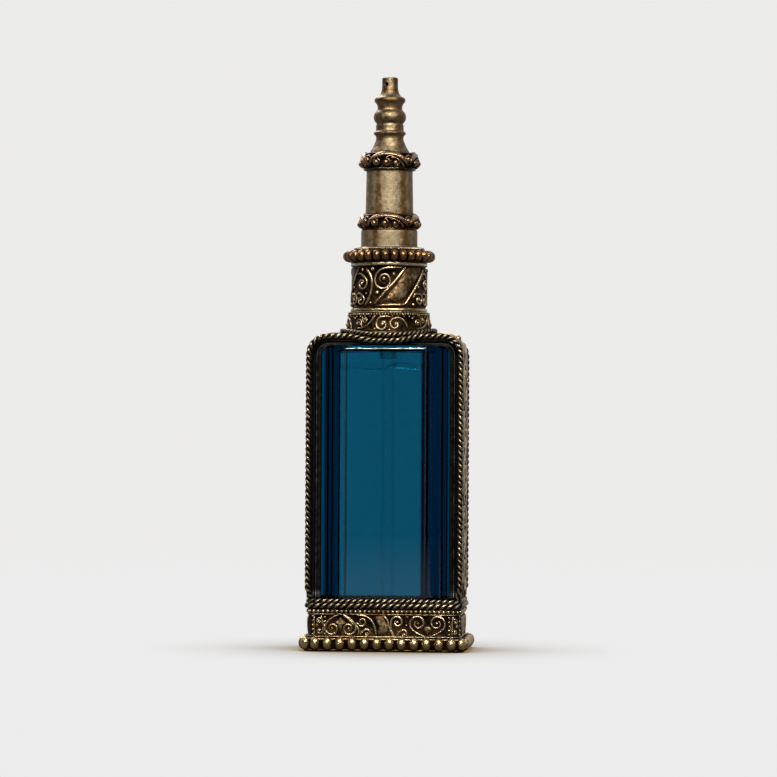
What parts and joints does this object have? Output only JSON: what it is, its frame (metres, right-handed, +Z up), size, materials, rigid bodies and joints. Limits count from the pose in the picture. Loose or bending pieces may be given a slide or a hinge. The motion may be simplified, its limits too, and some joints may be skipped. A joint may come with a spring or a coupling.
{
  "type": "perfume atomiser",
  "caption": "Metal-clad bevelled glass scent flask whose screw closure carries a sprung spray pump under a turned spire with a side spray hole.",
  "frame": {"origin": "centre of the underside of the base, on the table", "axes": "+Z up through the neck and the spire, +X to the right across the broad front, -Y out of the front panel"},
  "size_m": [0.0418, 0.0266, 0.14],
  "materials": {
    "antique_metal": "silvered brass with an antique patina, dark in the recesses and rubbed bright on the high spots",
    "dark_metal": "blackened sheet brass, dull",
    "bronze_beads": "golden brown bronze, rubbed bright on the beads",
    "copper_scrolls": "coppery brown cast brass with dark recesses",
    "turned_brass": "worn silver plate over turned brass with brown stains and fine scratches",
    "blue_glass": "deep blue-teal transparent glass, polished bevels",
    "white_plastic": "moulded white polypropylene",
    "natural_plastic": "milky natural polyethylene",
    "spring_steel": "stainless spring steel",
    "gasket_rubber": "grey nitrile rubber",
    "clear_tube": "clear polyethylene tube"
  },
  "bodies": {
    "flask": {"base_plate": "bronze_beads", "base_bead_ring": "bronze_beads", "base_cup": "antique_metal", "scroll_band": "antique_metal", "grain_wire": "antique_metal", "base_rope_lower": "antique_metal", "base_rope_upper": "antique_metal", "glass_bottle": "blue_glass", "side_strap": "antique_metal", "bezel_front": "dark_metal", "bezel_back": "dark_metal", "edge_rope_front": "antique_metal", "edge_rope_back": "antique_metal", "neck_rope": "antique_metal", "neck_base_ring": "antique_metal", "neck_collar": "antique_metal"},
    "gasket": {"neck_gasket": "gasket_rubber"},
    "pump": {"pump_housing": "white_plastic", "turret": "white_plastic", "spring_seat": "natural_plastic", "return_spring": "spring_steel", "dip_tube": "clear_tube"},
    "closure": {"screw_cap": "white_plastic", "beaded_flange": "bronze_beads", "milled_wire": "turned_brass", "sleeve": "turned_brass", "lower_scroll_ring": "copper_scrolls"},
    "plunger": {"stem": "natural_plastic", "piston": "natural_plastic"},
    "spray_head": {"stem_adapter": "white_plastic", "spray_tube": "turned_brass", "upper_scroll_ring": "copper_scrolls", "finial": "turned_brass"},
    "inlet_ball": {"inlet_ball": "spring_steel"}
  },
  "joints": [
    {"name": "head_lift", "type": "slide", "parent": "flask", "child": "gasket", "axis": [0, 0, 1], "range_m": [0, 0.09]},
    {"name": "screw_rise", "type": "slide", "parent": "gasket", "child": "pump", "axis": [0, 0, 1], "range_m": [0, 0.0026]},
    {"name": "closure_turn", "type": "hinge", "parent": "pump", "child": "closure", "pos_m": [0, 0, 0.09], "axis": [0, 0, 1], "range_deg": [0, 450]},
    {"name": "spray_press", "type": "slide", "parent": "pump", "child": "plunger", "axis": [0, 0, -1], "range_m": [0, 0.004], "stiffness_N_per_m": 700, "springref_m": -0.002, "deforming": ["return_spring"]},
    {"name": "nozzle_turn", "type": "hinge", "parent": "plunger", "child": "spray_head", "pos_m": [0, 0, 0.12], "axis": [0, 0, 1], "continuous": true},
    {"name": "ball_lift", "type": "slide", "parent": "pump", "child": "inlet_ball", "axis": [0, 0, 1], "range_m": [0, 0.0009]}
  ],
  "couplings": [
    {"joint": "screw_rise", "follows": "closure_turn", "m_per_rad": 0.00031831}
  ]
}
